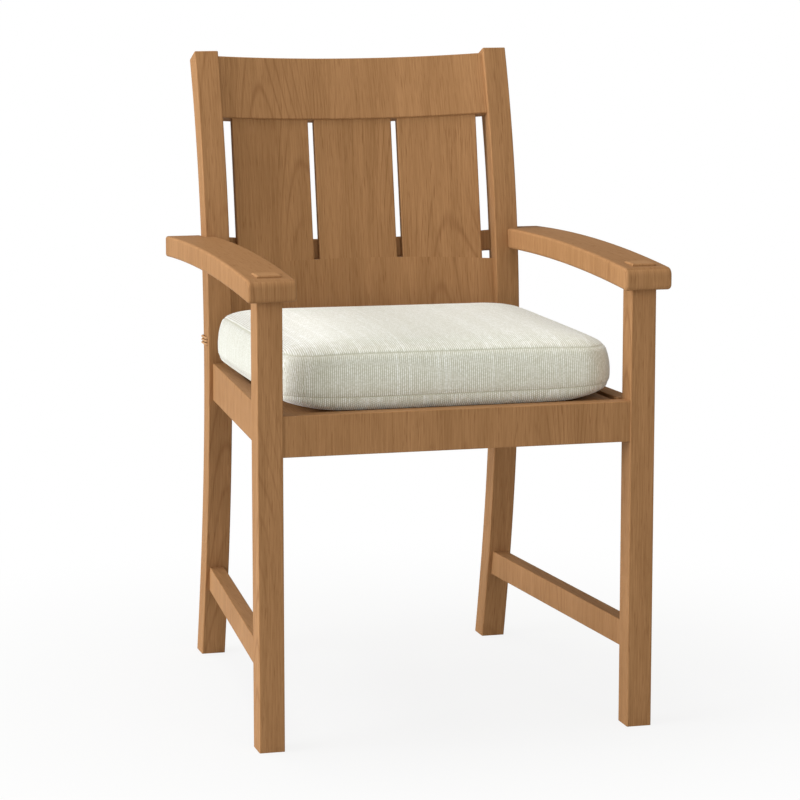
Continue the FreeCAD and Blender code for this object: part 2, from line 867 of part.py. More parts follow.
def cushion_form(inset):
    """The cushion's outer form, made smaller all round by inset."""
    front = cushion_front + inset
    rear = cushion_rear - inset
    front_half = cushion_front_half_width - inset
    rear_half = cushion_rear_half_width - inset
    low = cushion_bottom + inset
    corners = [Vector(-front_half, front, low), Vector(front_half, front, low),
               Vector(rear_half, rear, low), Vector(-rear_half, rear, low)]
    form = prism(corners, UP * (cushion_height - 2 * inset))
    form = rounded(form, cushion_corner_radius - inset, lambda edge: runs_along(edge, UP))
    form = rounded(form, cushion_edge_radius - inset, lambda edge: not runs_along(edge, UP))
    shelf_top = rail_top + cushion_rail_gap + inset
    gap = cushion_rail_gap + inset
    near_y = leg_depth - cushion_front
    away_y = seat_post_y + cushion_front
    near = Vector(side_rail_inner_x(near_y) - gap, near_y, low - deck_recess)
    away = Vector(side_rail_inner_x(away_y) - gap, away_y, low - deck_recess)
    wide_near = Vector(front_half_width, near_y, low - deck_recess)
    wide_away = Vector(front_half_width, away_y, low - deck_recess)
    shelf = prism([near, wide_near, wide_away, away], UP * (shelf_top - low + deck_recess))
    return form.cut(shelf).cut(mirrored(shelf))


def cushion_cover():
    return cushion_form(0.0).cut(cushion_form(cover_thickness))


def cushion_foam():
    return cushion_form(cover_thickness + foam_gap)


# Zip in the rear of the cover, below the lower back rail

zip_outer = cushion_rear + zip_tape_thickness


def zip_tape():
    z_range = (cushion_middle - zip_tape_height / 2, cushion_middle + zip_tape_height / 2)
    return block((-zip_half_length, zip_half_length), (cushion_rear, zip_outer), z_range)


def zip_slider():
    near = zip_outer + zip_slider_gap
    away = near + zip_slider_thickness
    half_width = zip_slider_width / 2
    half_height = zip_slider_height / 2
    x_range = (-zip_slider_end - half_width, -zip_slider_end + half_width)
    body = block(x_range, (near, away), (cushion_middle - half_height, cushion_middle + half_height))
    body = rounded(body, half_width / 4, lambda edge: runs_along(edge, Vector(0, 1, 0)))
    half_pull = zip_pull_width / 2
    pull_x = (-zip_slider_end - half_pull, -zip_slider_end + half_pull)
    pull_z = (cushion_middle - zip_pull_length, cushion_middle)
    pull = block(pull_x, (away - zip_pull_thickness / 2, away + zip_pull_thickness / 2), pull_z)
    return body.fuse(pull).removeSplitter()


# Tie cord lashed through a slot in the rear post and round its back, on the right side

tie_height = rail_top + tie_lift
tie_slot_front = post_front_y(tie_height) + tie_slot_setback


def tie_slot():
    margin = tie_radius + tie_gap
    z_range = (tie_height - margin, tie_height + (tie_turns - 1) * tie_pitch + margin)
    y_range = (tie_slot_front, tie_slot_front + tie_slot_width)
    return block((clear_half - post_width, rear_half_width + post_width), y_range, z_range)


def tie_turn(height):
    """One turn of the cord: through the slot, along both side faces and round the back."""
    off = tie_radius + tie_gap
    x_low = clear_half - off
    x_high = rear_half_width + off
    y_low = tie_slot_front + tie_slot_width / 2
    y_high = max(post_rear_y(height - tie_radius), post_rear_y(height + tie_radius)) + off
    loop = block((x_low, x_high), (y_low, y_high), (height, height + tie_pitch))
    loop = rounded(loop, tie_bend_radius, lambda edge: runs_along(edge, UP))
    path = min(loop.Faces, key=lambda face: face.CenterOfMass.z).OuterWire
    start = Vector(post_x, y_high, height)
    ring = Part.Wire(Part.makeCircle(tie_radius, start, Vector(1, 0, 0)))
    return Part.Wire(Part.__sortEdges__(path.Edges)).makePipeShell([ring], True, False)


def cushion_tie():
    return [tie_turn(tie_height + turn * tie_pitch) for turn in range(tie_turns)]


# All pieces by name

def both_sides(name, shape):
    return {name + "_left": mirrored(shape), name + "_right": shape}


def build():
    pieces = {}
    side_blank = side_rail_blank()
    front_block = corner_block(front_rail_rear, to_the_rear, [side_blank])
    rear_rail = cross_rail(clear_half, rear_rail_front(), rear_rail_core())
    rear_block = corner_block(rear_rail_front(), to_the_front, [side_blank, rear_post_blank])

    side_rail = side_blank.fuse(side_rail_core()).removeSplitter()
    side_rail = side_rail.cut(bearer_core(joint_clearance))
    for screws in (block_screws(front_rail_rear, to_the_rear, screw_clearance),
                   block_screws(rear_rail_front(), to_the_front, screw_clearance)):
        side_rail = side_rail.cut(screws[1])

    front_rail = cross_rail(front_half_width - leg_width, front_rail_setback, front_rail_core())
    for screw in front_cleat_screws(screw_clearance):
        front_rail = front_rail.cut(screw)
    for screw in rear_cleat_screws(screw_clearance):
        rear_rail = rear_rail.cut(screw)
    front_screw = block_screws(front_rail_rear, to_the_rear, screw_clearance)[0]
    rear_screw = block_screws(rear_rail_front(), to_the_front, screw_clearance)[0]
    for screw in (front_screw, mirrored(front_screw)):
        front_rail = front_rail.cut(screw)
    for screw in (rear_screw, mirrored(rear_screw)):
        rear_rail = rear_rail.cut(screw)

    pieces.update(both_sides("front_leg", front_leg()))
    pieces.update(both_sides("rear_post", rear_post()))
    pieces["front_seat_rail"] = front_rail
    pieces["rear_seat_rail"] = rear_rail
    pieces.update(both_sides("side_seat_rail", side_rail))
    pieces.update(both_sides("side_stretcher", side_stretcher()))
    pieces.update(both_sides("armrest", armrest()))
    pieces["rear_arm_bar"] = rear_arm_bar()
    pieces["crest_rail"] = crest_rail()
    pieces["lower_back_rail"] = lower_back_rail()
    for index, side in enumerate(("left", "centre", "right")):
        pieces["back_slat_" + side] = back_slat(index)
    for index in range(deck_middle_slats):
        pieces["seat_slat_" + str(index + 1)] = middle_slat(index)
    pieces.update(both_sides("seat_slat_outer", outer_slat()))
    pieces["seat_cleat_front"] = front_cleat()
    pieces["seat_cleat_rear"] = rear_cleat()
    pieces["seat_bearer"] = seat_bearer([side_blank, mirrored(side_blank)])
    pieces.update(both_sides("corner_block_front", front_block))
    pieces.update(both_sides("corner_block_rear", rear_block))

    dowels = arm_dowels()
    pieces["arm_dowels"] = Part.makeCompound(dowels + [mirrored(dowel) for dowel in dowels])
    deck_places = deck_screw_places((front_screw_y, bearer_screw_y, rear_screw_y()))
    pieces["seat_slat_screws"] = Part.makeCompound([deck_screw(x, y) for x, y in deck_places])
    pieces["cleat_screws"] = Part.makeCompound(front_cleat_screws() + rear_cleat_screws())
    corner_screws = block_screws(front_rail_rear, to_the_rear) + block_screws(rear_rail_front(), to_the_front)
    corner_screws += [mirrored(screw) for screw in corner_screws]
    pieces["corner_block_screws"] = Part.makeCompound(corner_screws)

    pieces["cushion_cover"] = cushion_cover()
    pieces["cushion_foam"] = cushion_foam()
    pieces["zip_tape"] = zip_tape()
    pieces["zip_slider"] = zip_slider()
    turns = cushion_tie()
    pieces["cushion_tie_right"] = Part.makeCompound(turns)
    pieces["cushion_tie_left"] = Part.makeCompound([mirrored(turn) for turn in turns])
    return pieces


def main():
    os.makedirs("parts", exist_ok=True)
    pieces = build()
    outermost = [pieces[name] for name in ("armrest_right", "rear_post_right", "crest_rail")]
    box = Part.makeCompound(outermost).optimalBoundingBox(False, False)
    middle = Vector(0, (box.YMin + box.YMax) / 2, 0)
    for name, shape in pieces.items():
        shape.translate(-middle)
        shape.exportStep(os.path.join("parts", name + ".step"))


main()
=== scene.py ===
import math

import bmesh
import bpy
import numpy as np
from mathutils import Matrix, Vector


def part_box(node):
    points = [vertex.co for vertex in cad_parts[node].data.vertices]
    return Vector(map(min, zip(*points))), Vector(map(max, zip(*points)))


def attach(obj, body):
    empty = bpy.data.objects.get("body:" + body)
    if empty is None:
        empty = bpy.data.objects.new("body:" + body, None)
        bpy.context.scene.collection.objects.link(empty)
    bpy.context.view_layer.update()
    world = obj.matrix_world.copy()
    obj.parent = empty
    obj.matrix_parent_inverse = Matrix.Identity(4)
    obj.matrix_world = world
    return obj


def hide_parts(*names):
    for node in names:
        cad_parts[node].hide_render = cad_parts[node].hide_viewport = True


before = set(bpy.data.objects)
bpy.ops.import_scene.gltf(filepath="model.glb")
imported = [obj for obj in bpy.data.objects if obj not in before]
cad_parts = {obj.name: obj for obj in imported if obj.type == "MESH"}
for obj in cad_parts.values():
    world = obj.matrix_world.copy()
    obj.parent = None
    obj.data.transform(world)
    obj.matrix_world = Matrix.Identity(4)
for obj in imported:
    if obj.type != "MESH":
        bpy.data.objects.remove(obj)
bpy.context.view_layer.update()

bl_info = {
    "name": "Teak armchair",
    "version": (1, 0, 0),
    "blender": (4, 5, 0),
    "location": "3D View > Sidebar > Armchair",
    "description": "Finishes, soft cushion, zip, ties and stage of a teak dining armchair",
    "category": "Object",
}

# Boxes of the solids that the soft pieces fit to
RAIL_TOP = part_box("side_seat_rail_right")[1].z
DECK_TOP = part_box("seat_slat_3")[1].z
TAPE_LOW, TAPE_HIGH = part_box("zip_tape")
TAPE_MIDDLE = (TAPE_LOW.z + TAPE_HIGH.z) / 2

# Width to either side of a seam that the seam draws in
SEAM_REACH = 0.0035

WHITE = (1.0, 1.0, 1.0)

# Wooden nodes by the way their grain runs on flat faces
POSTS = ("rear_post_left", "rear_post_right")
ARMRESTS = ("armrest_left", "armrest_right")
LONG_BOARDS = (
    "side_seat_rail_left", "side_seat_rail_right",
    "side_stretcher_left", "side_stretcher_right",
    "seat_slat_1", "seat_slat_2", "seat_slat_3", "seat_slat_4", "seat_slat_5",
    "seat_slat_outer_left", "seat_slat_outer_right",
    "corner_block_front_left", "corner_block_front_right",
    "corner_block_rear_left", "corner_block_rear_right",
)
CROSS_BOARDS = (
    "front_leg_left", "front_leg_right", "front_seat_rail", "rear_seat_rail",
    "rear_arm_bar", "crest_rail", "lower_back_rail",
    "back_slat_left", "back_slat_centre", "back_slat_right",
    "seat_cleat_front", "seat_cleat_rear", "seat_bearer", "arm_dowels",
)
SCREWS = ("seat_slat_screws", "cleat_screws", "corner_block_screws")
TIES = ("cushion_tie_left", "cushion_tie_right")


def paint(red, green, blue):
    """Linear colour from the 0 to 255 values of a paint chart."""
    def channel(value):
        share = value / 255
        if share <= 0.04045:
            return share / 12.92
        return ((share + 0.055) / 1.055) ** 2.4
    return (channel(red), channel(green), channel(blue))


def colour_choice(name, description, default):
    return bpy.props.FloatVectorProperty(
        name=name, description=description, subtype="COLOR", size=3, min=0.0, max=1.0, default=default
    )


def length_choice(name, description, default):
    return bpy.props.FloatProperty(
        name=name, description=description, unit="LENGTH", precision=5, default=default
    )


def number_choice(name, description, default):
    return bpy.props.FloatProperty(name=name, description=description, precision=4, default=default)


class TeakSettings(bpy.types.PropertyGroup):
    """Oiled teak of the frame."""
    pale: colour_choice("Pale wood", "Colour of the paler bands", paint(175, 131, 89))
    deep: colour_choice("Deep wood", "Colour of the darker bands", paint(146, 106, 68))
    vein: colour_choice("Grain lines", "Colour of the year lines and pores", paint(104, 64, 33))
    streak_width: length_choice("Streak width", "Width of the fine streaks along the grain", 0.0016)
    band_width: length_choice("Band width", "Width of the broad bands of colour", 0.024)
    line_gap: length_choice("Arch gap", "Distance between the arches of the year lines", 0.085)


class ClothSettings(bpy.types.PropertyGroup):
    """Woven cover of the cushion."""
    pale: colour_choice("Pale thread", "Colour of the thick pale threads", paint(251, 253, 249))
    shade: colour_choice("Shaded thread", "Colour of the thin darker threads", paint(235, 236, 227))
    # This colour is painted shade in the hollows between the threads and along the seams; the darker
    # specks take it too
    gap: colour_choice("Thread gap", "Colour between the threads and in the seams", paint(184, 182, 158))
    warp_pitch: length_choice("Warp pitch", "Distance between the ribs of the boxing", 0.00277)
    weft_pitch: length_choice("Weft pitch", "Distance between the threads of the panels", 0.0028)


class CushionSettings(bpy.types.PropertyGroup):
    """Boxed seat cushion before it swells."""
    front_half: length_choice("Half width at the front", "Half width of the cut at its front", 0.2372)
    rear_half: length_choice("Half width at the rear", "Half width of the cut at its rear", 0.2367)
    front: length_choice("Front", "Place of the front boxing before it swells", -0.2735)
    rear: length_choice("Rear", "Place of the rear boxing before it swells", 0.1895)
    top: length_choice("Top", "Height of the top panel before it swells", 0.5415)
    low_seam: length_choice("Lower seam", "Height of the seam round the bottom panel", 0.4738)
    high_seam: length_choice("Upper seam", "Height of the seam round the top panel", 0.5322)
    bulge: length_choice("Bulge", "How far the boxing stands out between its seams", 0.0020)
    high_inset: length_choice("Upper inset", "How far the upper seam lies inside the lower one", 0.0060)
    corner: length_choice("Corner radius", "Radius of the upright corners", 0.052)
    top_reach: length_choice("Top roll", "Width over which the top panel falls to its seam", 0.035)
    low_reach: length_choice("Bottom side roll", "Width of the bottom panel's roll along its sides", 0.090)
    end_reach: length_choice("Bottom end roll", "Width of that roll along its front and rear", 0.012)
    lean: length_choice("Lean", "How far the top leans from the left side to the right one", 0.0015)
    pinch: length_choice("Corner pinch", "How far both seams draw together at the front corners", 0.0065)
    crown_cap: length_choice("Crown", "Most that the top panel may rise", 0.0085)
    side_cap: length_choice("Side swell", "Most that the boxing may swell", 0.0040)
    seam_depth: length_choice("Seam depth", "How far the seams are drawn in", 0.0012)
    voxel: length_choice("Mesh size", "Face size of the cloth", 0.006)


class ZipSettings(bpy.types.PropertyGroup):
    """Coil zip in the rear boxing."""
    pitch: length_choice("Tooth pitch", "Distance between the teeth of one row", 0.0025)
    tooth_width: length_choice("Tooth width", "Width of a tooth along the zip", 0.0013)
    tooth_height: length_choice("Tooth height", "Height of a tooth across the zip", 0.0026)
    tooth_depth: length_choice("Tooth depth", "How far a tooth stands off the tape", 0.0009)
    tape: colour_choice("Tape", "Colour of the woven tape", paint(222, 218, 203))
    teeth: colour_choice("Teeth", "Colour of the teeth", paint(196, 190, 172))


class MetalSettings(bpy.types.PropertyGroup):
    """Plated metal of the slider and the screws."""
    slider: colour_choice("Slider", "Colour of the plated slider", paint(188, 186, 180))
    screw: colour_choice("Screws", "Colour of the plain steel screws", paint(176, 176, 174))


class TieSettings(bpy.types.PropertyGroup):
    """Twisted cord of the cushion ties."""
    cord: colour_choice("Cord", "Colour of the strands", paint(186, 144, 102))
    # Painted shade in the hollows between the strands
    groove_shade: colour_choice("Groove", "Colour between the strands", paint(176, 135, 94))
    lay_length: length_choice("Lay", "Length of one turn of a strand", 0.0042)


class StageSettings(bpy.types.PropertyGroup):
    """Camera, floor and studio light."""
    camera_place: bpy.props.FloatVectorProperty(
        name="Camera place", description="Where the camera stands", subtype="TRANSLATION", unit="LENGTH",
        size=3, precision=4, default=(-1.1460, -4.20765, 1.1191),
    )
    camera_turn: bpy.props.FloatVectorProperty(
        name="Camera turn", description="How the camera is turned", subtype="EULER", unit="ROTATION",
        size=3, default=(math.radians(80.93), 0.0, math.radians(-15.23)),
    )
    lens: number_choice("Lens", "Focal length in millimetres", 137.93)
    key_power: number_choice("Key lamp", "Power of the large lamp on the left in watts", 1200.0)
    top_power: number_choice("Top lamp", "Power of the lamp overhead in watts", 50.0)
    fill_power: number_choice("Fill lamp", "Power of the large lamp in front in watts", 27.5)
    key_tint: colour_choice("Key tint", "Colour of the large lamp on the left", (0.91, 0.94, 1.0))
    sky: number_choice("Sky", "Strength of the even light from all round", 0.40)
    sky_tint: colour_choice("Sky tint", "Colour of the even light", (1.0, 0.975, 0.89))
    floor: colour_choice("Floor", "Colour of the floor", paint(208, 208, 206))


class Wire:
    """A value in a node tree, on which Python's operators add Math nodes."""

    def __init__(self, sheet, socket):
        self.sheet = sheet
        self.socket = socket

    def maths(self, operation, first, second=0.0):
        return self.sheet.node("ShaderNodeMath", {"operation": operation}, {0: first, 1: second})

    def __add__(self, other):
        return self.maths("ADD", self, other)

    def __radd__(self, other):
        return self.maths("ADD", other, self)

    def __sub__(self, other):
        return self.maths("SUBTRACT", self, other)

    def __rsub__(self, other):
        return self.maths("SUBTRACT", other, self)

    def __mul__(self, other):
        return self.maths("MULTIPLY", self, other)

    def __rmul__(self, other):
        return self.maths("MULTIPLY", other, self)

    def __truediv__(self, other):
        return self.maths("DIVIDE", self, other)

    def __rtruediv__(self, other):
        return self.maths("DIVIDE", other, self)

    def __pow__(self, other):
        return self.maths("POWER", self, other)

    def __abs__(self):
        return self.maths("ABSOLUTE", self)

    def __gt__(self, other):
        return self.maths("GREATER_THAN", self, other)

    def __lt__(self, other):
        return self.maths("LESS_THAN", self, other)

    def whole(self):
        """Whole number at or below the value."""
        return self.maths("FLOOR", self)

    def fold(self, width):
        """Runs up and down between 0 and the width."""
        return self.maths("PINGPONG", self, width)

    def wave(self, turns):
        """Wave between 0 and 1 with this many turns per unit."""
        return self.maths("COSINE", self * (2 * math.pi * turns)) * 0.5 + 0.5

    def ease(self, low, high):
        """0 below the low value, 1 above the high one, smooth between them."""
        settings = {"interpolation_type": "SMOOTHSTEP"}
        return self.sheet.node("ShaderNodeMapRange", settings, {0: self, 1: low, 2: high})


class NodeSheet:
    """A node tree, and the one way to add a node to it."""

    def __init__(self, tree):
        self.tree = tree
        self.tree.nodes.clear()

    def node(self, kind, settings=None, sockets=None, output=0):
        """Adds a node: its settings first, then the values or links of its sockets."""
        made = self.tree.nodes.new(kind)
        for name, value in (settings or {}).items():
            setattr(made, name, value)
        for name, value in (sockets or {}).items():
            socket = made.inputs[name]
            wires = value if isinstance(value, list) else [value]
            if isinstance(wires[0], Wire):
                for wire in wires:
                    self.tree.links.new(wire.socket, socket)
            elif socket.type == "RGBA":
                socket.default_value = (*value[:3], 1.0)
            else:
                socket.default_value = value
        if len(made.outputs):
            return Wire(self, made.outputs[output])
        return None

    def split(self, vector):
        first = self.node("ShaderNodeSeparateXYZ", {}, {0: vector})
        return [Wire(self, socket) for socket in first.socket.node.outputs]

    def join(self, x, y, z):
        return self.node("ShaderNodeCombineXYZ", {}, {0: x, 1: y, 2: z})


class Finish(NodeSheet):
    """A procedural material and the nodes in it."""

    def __init__(self, name):
        self.material = bpy.data.materials.new(name)
        self.material.use_nodes = True
        super().__init__(self.material.node_tree)

    def blend(self, share, first, second):
        """Colour between two colours."""
        return self.node("ShaderNodeMix", {"data_type": "RGBA"}, {0: share, 6: first, 7: second}, 2)

    def noise(self, x, y, z, detail=2.0, roughness=0.5):
        sockets = {"Vector": self.join(x, y, z), "Scale": 1.0, "Detail": detail, "Roughness": roughness}
        return self.node("ShaderNodeTexNoise", {}, sockets)

    def speckle(self, turns, detail=2.0, roughness=0.5):
        """Noise with the same number of turns per metre in every direction."""
        x, y, z = self.place()
        return self.noise(x * turns, y * turns, z * turns, detail, roughness)

    def bump(self, height, strength, distance):
        sockets = {"Height": height, "Strength": strength, "Distance": distance}
        return self.node("ShaderNodeBump", {}, sockets)

    def place(self):
        return self.split(self.node("ShaderNodeTexCoord", output="Object"))

    def surface(self, sockets):
        shader = self.node("ShaderNodeBsdfPrincipled", {}, sockets)
        self.node("ShaderNodeOutputMaterial", {}, {"Surface": shader})
        return self.material


def between(first, second, share):
    """Goes from the first value to the second as the share goes from 0 to 1."""
    return first + share * (second - first)


def teak(name, settings, flat_along, leaning=False, flat_painted_shade=0.0):
    """Oiled teak: upright grain on upright faces, grain along the board on flat ones."""
    wood = Finish(name)
    x, y, z = wood.place()
    facing_x, facing_y, facing_z = wood.split(wood.node("ShaderNodeNewGeometry", output="Normal"))
    board = wood.node("ShaderNodeObjectInfo", output="Random")
    side = abs(facing_x) > abs(facing_y)
    flat_slope = 0.8
    flat = abs(facing_z) > flat_slope
    depth = y
    if leaning:
        post_middle = 0.213
        post_sweep = 0.073
        sweep_height = 0.44
        height = (z - sweep_height) / sweep_height
        depth = y - (height * height * post_sweep + post_middle)
    flat_across, flat_run = (x, y) if flat_along == "Y" else (y, x)
    across = between(between(x, depth, side), flat_across, flat)
    along = between(z, flat_run, flat)
    seed = board * 57.0 + side * 7.3 + flat * 3.1

    def grain(across_turns, along_turns, shift, detail, roughness=0.5):
        """Noise with so many turns per metre across and along the grain."""
        return wood.noise(across * across_turns, along * along_turns, seed + shift, detail, roughness)

    streak_turns = 1 / settings.streak_width
    band_turns = 1 / settings.band_width
    streak_stretch = 45
    fibre_stretch = 16
    fibres_per_streak = 2.6
    band_stretch = 14
    streaks = grain(streak_turns, streak_turns / streak_stretch, shift=0.0, detail=3.0, roughness=0.6)
    fibres = grain(streak_turns * fibres_per_streak, streak_turns / fibre_stretch, shift=11.0, detail=2.0)
    bands = grain(band_turns, band_turns / band_stretch, shift=23.0, detail=2.0)
    mottle = grain(38.0, 17.0, shift=31.0, detail=2.0, roughness=0.55)
    wobble = grain(9.0, 2.6, shift=41.0, detail=1.0) - 0.5
    plain = grain(7.0, 3.0, shift=53.0, detail=1.0).ease(0.46, 0.66)
    pores = grain(760.0, 34.0, shift=61.0, detail=1.0).ease(0.60, 0.74)

    # Year lines: arches that repeat across the board, wavering along it
    arch_half_width = 0.075
    arch_height = 110.0
    board_shift = 0.21
    arch_wobble = 0.05
    line_wobble = 2.2
    line_sharpness = 9.0
    arch = (across + board * board_shift + wobble * arch_wobble).fold(arch_half_width)
    year = (along + arch * arch * arch_height) / settings.line_gap + wobble * line_wobble
    rings = year.wave(1.0) ** line_sharpness

    # Shares of each layer in the colour
    band_share = 0.34
    streak_share = 0.52
    mottle_share = 0.14
    ring_share = 0.3
    flat_ring_share = 0.1
    pore_share = 0.34
    fibre_share = 0.2
    tone = bands.ease(0.28, 0.72) * band_share + streaks.ease(0.3, 0.7) * streak_share
    # Painted shade: on flat faces the tone is drawn towards the deep wood colour by this share, which
    # darkens the tops
    tone = (tone + mottle * mottle_share) * (1 - flat * flat_painted_shade)
    colour = wood.blend(tone, settings.deep, settings.pale)
    lines = rings * plain * between(ring_share, flat_ring_share, flat)
    colour = wood.blend(lines, colour, settings.vein)
    colour = wood.blend(pores * pore_share + fibres.ease(0.45, 0.75) * fibre_share, colour, settings.vein)
    relief = streaks * 0.5 + fibres * 0.5 - pores * 0.8
    return wood.surface({
        "Base Color": colour,
        "Roughness": 0.62 - streaks * 0.12 + pores * 0.1,
        "Specular IOR Level": 0.06,
        "Normal": wood.bump(relief, 0.22, 0.0004),
    })


def cover_cloth(name, settings, cushion):
    """Slub weave of the cover, with its threads round the boxing and across the panels."""
    cloth = Finish(name)
    x, y, z = cloth.place()
    around = cloth.node("ShaderNodeAttribute", {"attribute_name": "around"}, output="Fac")
    level = cloth.node("ShaderNodeAttribute", {"attribute_name": "level"}, output="Fac")
    under = level < cushion.low_seam
    boxing = (level < cushion.high_seam) - under
    underside = DECK_TOP + 0.006
    upright = (level < cushion.high_seam) - (level < underside)
    across = between(x, around, upright)
    along = between(y, z, upright)
    seed = boxing * 5.7 + under * 2.9

    rib_turns = 1 / settings.warp_pitch
    panel_turns = 1 / settings.weft_pitch
    drift_turns = 26.0
    panel_drift = 0.0016
    boxing_drift = 0.0004
    drift = cloth.noise(across * drift_turns, along * drift_turns, seed, 1.0, 0.5)
    drift = drift * between(panel_drift, boxing_drift, boxing)
    place = (across + drift) * between(panel_turns, rib_turns, boxing)
    thread = place.whole()
    warp = (place + 0.5).wave(1.0)
    weft_turns = between(panel_turns, rib_turns * 2, boxing)
    weft_step = between(0.5, 0.0, boxing)
    weft = ((along + drift * 0.5) * weft_turns + thread * weft_step).wave(1.0)
    row_step = 7.31
    thread_row = thread * row_step
    panel_specks = 90.0
    boxing_specks = 420.0
    speck_turns = between(panel_specks, boxing_specks, boxing)
    slub = cloth.noise(across * 170.0, along * 1.2, seed + 3.0, 1.0, 0.5).ease(0.60, 0.67)
    uneven = cloth.noise(thread_row, along * 14.0, seed + 9.0, 2.0, 0.6).ease(0.3, 0.7)
    specks = cloth.noise(thread_row, along * speck_turns, seed + 15.0, 2.0, 0.6).ease(0.32, 0.68)
    cloud = cloth.noise(across * 42.0, along * 1.1, seed + 21.0, 2.0, 0.5).ease(0.3, 0.7)

    # Paler and darker threads, then painted shade between them with darker specks, then painted shade
    # along the seams
    panel_cloud = 0.6
    boxing_cloud = 0.3
    tone = uneven * 0.36 + cloud * between(panel_cloud, boxing_cloud, boxing) + slub * 0.4
    colour = cloth.blend(tone, settings.shade, settings.pale)
    # Painted shade in the hollows between the ribs and between the threads, plus darker specks of thread
    rib_gap_shade = (1 - warp) ** 4.0 * 1.15
    thread_gap_shade = (1 - weft) ** 3.0 * 0.3
    speck_share = 0.34
    gap_shade_and_specks = (rib_gap_shade + thread_gap_shade) * (1.1 - uneven * 0.2 - slub * 0.3) + (1 - specks) * speck_share
    colour = cloth.blend(gap_shade_and_specks, colour, settings.gap)
    seam_core = 0.0003
    seam_edge = 0.0016
    seam_shade_share = 0.55
    high_line = 1 - abs(level - cushion.high_seam).ease(seam_core, seam_edge)
    low_line = 1 - abs(level - cushion.low_seam).ease(seam_core, seam_edge)
    seam = high_line + low_line
    # Painted shade along the seams, where the cover is drawn in
    colour = cloth.blend(seam * seam_shade_share, colour, settings.gap)
    relief = warp * (weft * 0.5 + 0.5) + slub * 0.5 - seam * 1.5
    return cloth.surface({
        "Base Color": colour,
        "Roughness": 0.9 - slub * 0.06,
        "Specular IOR Level": 0.2,
        "Sheen Weight": 0.6,
        "Normal": cloth.bump(relief, 0.45, 0.0006),
    })


def zip_cloth(name, settings):
    """Woven tape with a herringbone of fine threads."""
    tape = Finish(name)
    x, _, z = tape.place()
    rib_slant = 0.8
    rib_turns = 900.0
    row_turns = 700.0
    rib = (x + abs(z - TAPE_MIDDLE) * rib_slant).wave(rib_turns)
    rows = z.wave(row_turns)
    fuzz = tape.speckle(240.0, roughness=0.6)
    colour = tape.blend(rib * 0.35 + rows * 0.2 + fuzz * 0.25, settings.teeth, settings.tape)
    return tape.surface({
        "Base Color": colour,
        "Roughness": 0.85 - rib * 0.08,
        "Specular IOR Level": 0.25,
        "Normal": tape.bump(rib * 0.7 + rows * 0.4, 0.3, 0.0003),
    })


def zip_teeth(name, settings):
    """Nylon teeth, with gloss and colour that vary a little at random."""
    teeth = Finish(name)
    fuzz = teeth.speckle(420.0)
    colour = teeth.blend(fuzz, settings.tape, settings.teeth)
    return teeth.surface({
        "Base Color": colour,
        "Roughness": 0.42 + fuzz * 0.18,
        "Normal": teeth.bump(fuzz, 0.1, 0.0002),
    })


def satin_metal(name, colour, brush_axis):
    """Satin metal with brush marks and handling wear."""
    metal = Finish(name)
    x, y, z = metal.place()
    fine = 900.0
    drawn_out = 60.0
    turns_x, turns_y, turns_z = {"X": (drawn_out, fine, fine), "Z": (fine, fine, drawn_out)}[brush_axis]
    brush = metal.noise(x * turns_x, y * turns_y, z * turns_z, 3.0, 0.6)
    wear = metal.speckle(210.0).ease(0.45, 0.75)
    dull_share = 0.72
    dull = tuple(channel * dull_share for channel in colour)
    return metal.surface({
        "Base Color": metal.blend(wear * 0.5 + brush * 0.3, colour, dull),
        "Metallic": 1.0,
        "Roughness": 0.3 + brush * 0.16 + wear * 0.1,
        "Normal": metal.bump(brush, 0.12, 0.0002),
    })


def twisted_cord(name, settings):
    """Cord of twisted strands, lying in level turns round the posts."""
    cord = Finish(name)
    x, y, z = cord.place()
    strands = 3
    lay_slant = 0.8
    strand = (x + y - z * lay_slant).wave(strands / settings.lay_length)
    fuzz = cord.speckle(900.0, detail=3.0, roughness=0.6)
    # The strands fade into painted shade in the hollows between them
    colour = cord.blend(strand * 0.7 + fuzz * 0.3, settings.groove_shade, settings.cord)
    return cord.surface({
        "Base Color": colour,
        "Roughness": 0.85 - strand * 0.1,
        "Specular IOR Level": 0.2,
        "Normal": cord.bump(strand + fuzz * 0.3, 0.12, 0.0005),
    })


def dress(nodes, material):
    """Puts a finish on solids of the frame, whose meshes stay as they are."""
    for node in nodes:
        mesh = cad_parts[node].data
        mesh.materials.clear()
        mesh.materials.append(material)


def place_piece(name, mesh):
    piece = bpy.data.objects.new(name, mesh)
    bpy.context.scene.collection.objects.link(piece)
    return piece


def settled_mesh(piece):
    """Plain mesh of a piece with its modifiers worked out."""
    view_layer = bpy.context.view_layer
    view_layer.update()
    return bpy.data.meshes.new_from_object(piece.evaluated_get(view_layer.depsgraph))


def keep_settled(piece):
    """Replaces a piece's mesh by the worked out one, and takes its modifiers off."""
    mesh = settled_mesh(piece)
    piece.modifiers.clear()
    piece.data = mesh


def points_of(mesh):
    points = np.zeros(len(mesh.vertices) * 3)
    mesh.vertices.foreach_get("co", points)
    return points.reshape(-1, 3)


def set_points(mesh, points):
    mesh.vertices.foreach_set("co", points.ravel())
    mesh.update()


def set_values(mesh, name, values):
    attribute = mesh.attributes.new(name, "FLOAT", "POINT")
    attribute.data.foreach_set("value", values.astype(np.float32))


def values_of(mesh, name):
    values = np.zeros(len(mesh.vertices), np.float32)
    mesh.attributes[name].data.foreach_get("value", values)
    return values


